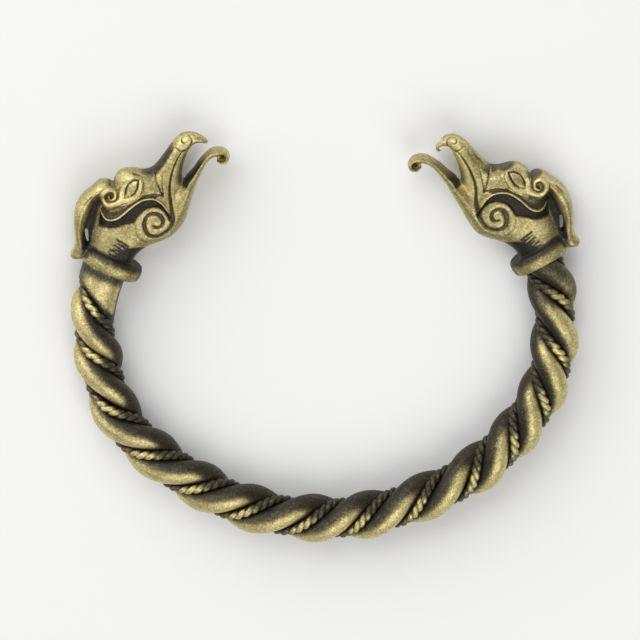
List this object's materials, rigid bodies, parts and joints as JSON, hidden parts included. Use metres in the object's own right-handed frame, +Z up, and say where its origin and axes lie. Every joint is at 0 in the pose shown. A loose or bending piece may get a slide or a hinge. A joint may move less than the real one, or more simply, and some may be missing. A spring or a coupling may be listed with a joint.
{
  "type": "arm ring",
  "caption": "Open arm ring of twisted bronze strands and fine twisted wires, with a cast beast head with open beaks and a mane on each end.",
  "frame": {"origin": "on the surface it lies on, under the middle of the ring's bounding box", "axes": "the ring lies flat in XY, +Z up; the opening between the heads faces +Y; +X is to the right as the picture shows it, from the left head to the right head"},
  "size_m": [0.0792, 0.0658, 0.0089],
  "materials": {
    "head_bronze": "antique bronze, satin, dark patina in the recesses",
    "strand_bronze": "antique bronze, satin and finely pitted, dark patina on the inner side",
    "wire_bronze": "antique bronze, dark patina between the turns"
  },
  "bodies": {
    "root": {"head_left": "head_bronze", "head_right": "head_bronze", "thick_strand_1": "strand_bronze", "thick_strand_2": "strand_bronze", "twisted_wire_1": "wire_bronze", "twisted_wire_2": "wire_bronze"}
  },
  "joints": []
}
